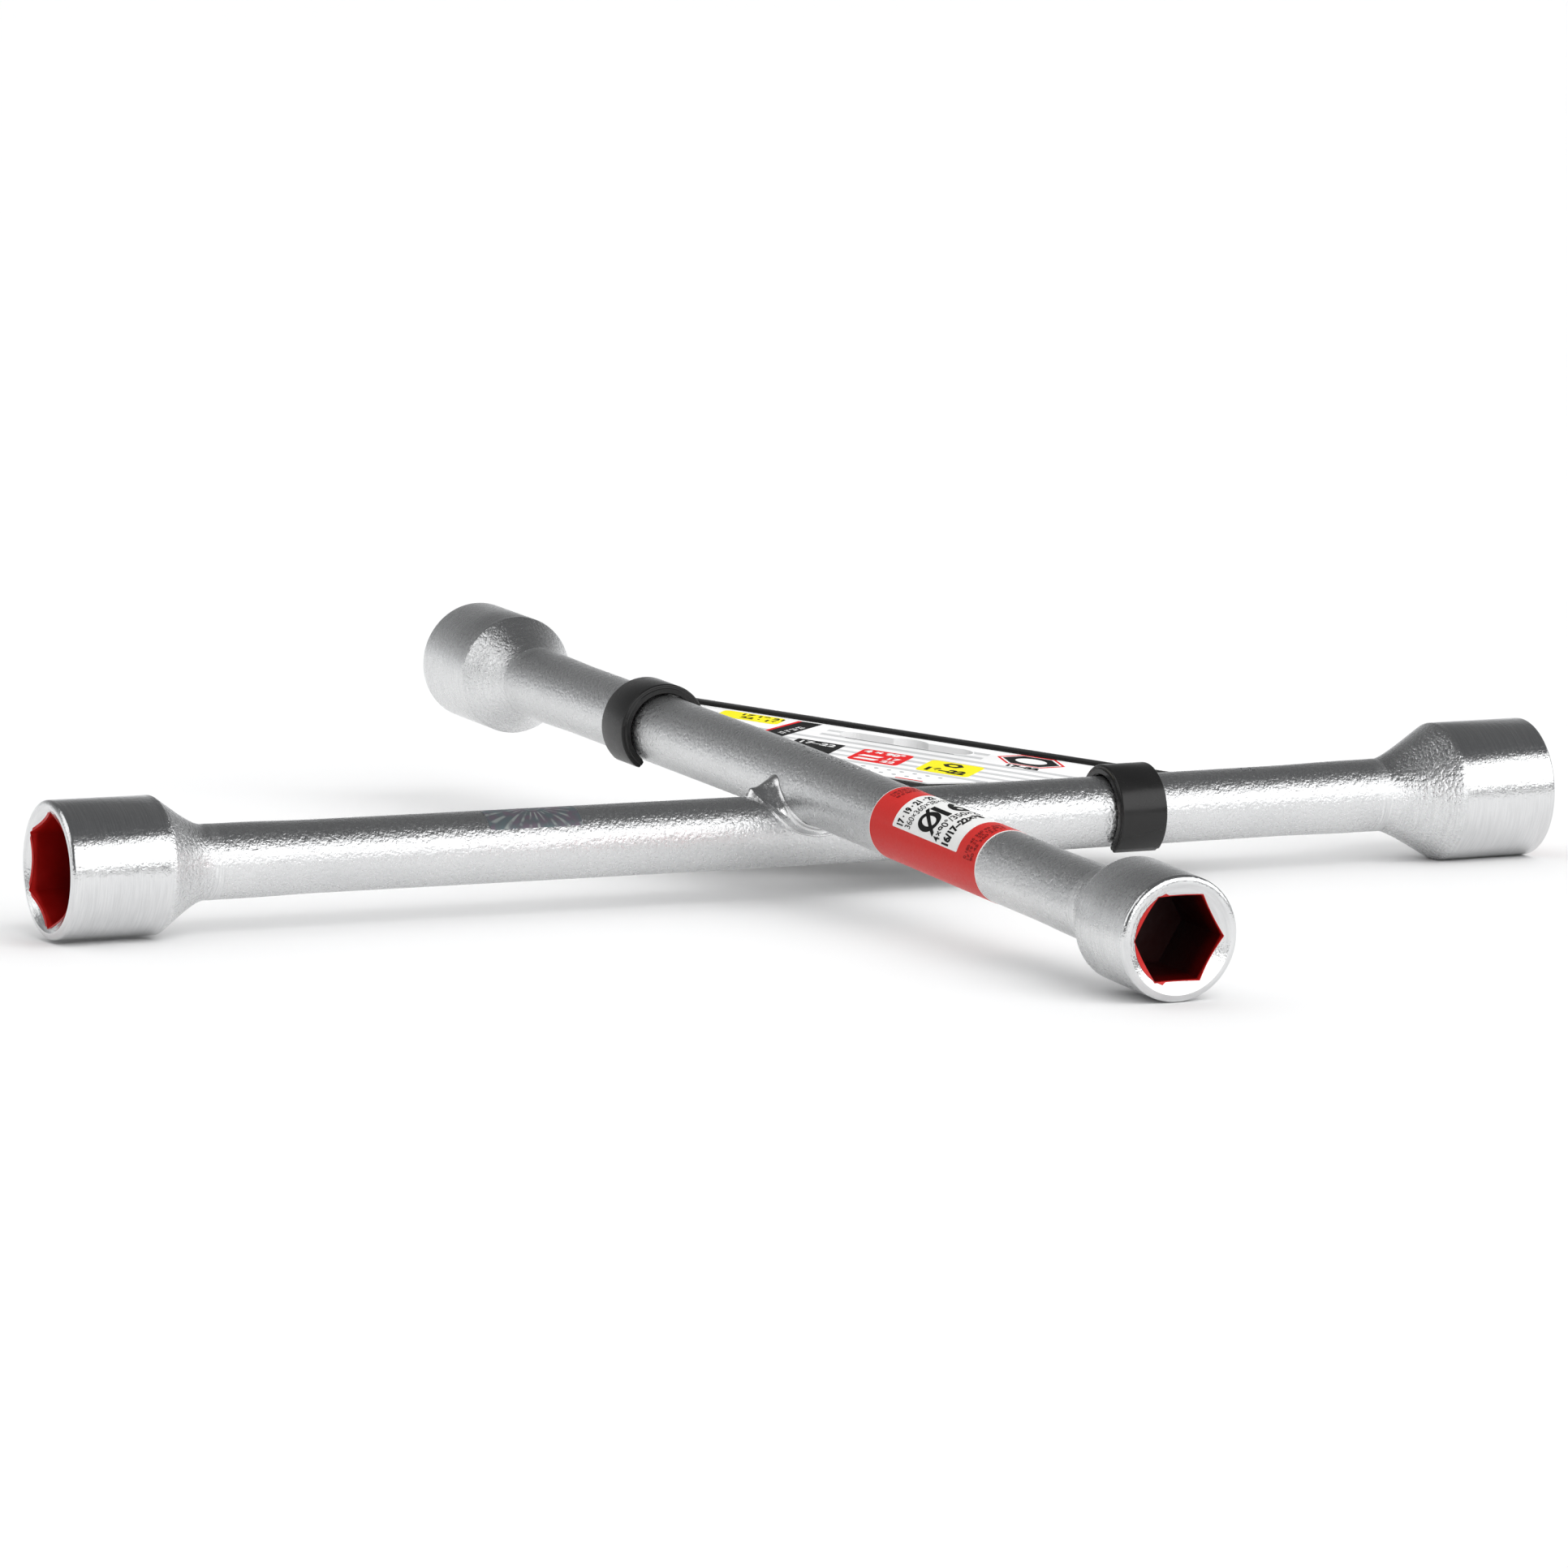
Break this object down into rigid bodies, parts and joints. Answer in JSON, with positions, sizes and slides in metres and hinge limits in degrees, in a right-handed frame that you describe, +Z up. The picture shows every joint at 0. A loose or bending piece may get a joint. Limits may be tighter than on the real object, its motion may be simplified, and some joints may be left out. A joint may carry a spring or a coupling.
{
  "type": "lug wrench",
  "caption": "Cross-shaped lug wrench: two round bars welded across each other, a hexagon socket on every end, and a clip-on card holder bridging two arms.",
  "frame": {"origin": "on the ground under the middle of the wrench's box in plan, 1.5 mm from the point below the crossing along each bar", "axes": "+X along the lower bar towards the 22 mm socket, +Y along the upper bar towards the 19 mm socket, +Z up through the crossing"},
  "size_m": [0.363, 0.3572, 0.0379],
  "materials": {
    "bar_steel": "satin",
    "socket_steel": "satin",
    "weld_steel": "satin",
    "red_lacquer": "satin",
    "label_foil": "satin",
    "seal_foil": "polished",
    "holder_plastic": "satin",
    "card_print": "satin"
  },
  "bodies": {
    "wrench": {"upper_bar": "bar_steel", "lower_bar": "bar_steel", "centre_weld": "weld_steel", "socket_17": "socket_steel", "socket_19": "socket_steel", "socket_21": "socket_steel", "socket_22": "socket_steel", "lining_17": "red_lacquer", "lining_19": "red_lacquer", "lining_21": "red_lacquer", "lining_22": "red_lacquer", "neck_weld_17": "weld_steel", "neck_weld_19": "weld_steel", "neck_weld_21": "weld_steel", "neck_weld_22": "weld_steel", "size_label": "label_foil", "foil_sticker": "seal_foil"},
    "holder": {"holder_plate": "holder_plastic", "holder_clip_upper": "holder_plastic", "holder_clip_lower": "holder_plastic", "info_card": "card_print"}
  },
  "joints": [
    {"name": "holder_lift", "type": "slide", "parent": "wrench", "child": "holder", "axis": [0, 0, 1], "range_m": [0, 0.04], "deforming": ["holder_clip_upper", "holder_clip_lower"]}
  ]
}
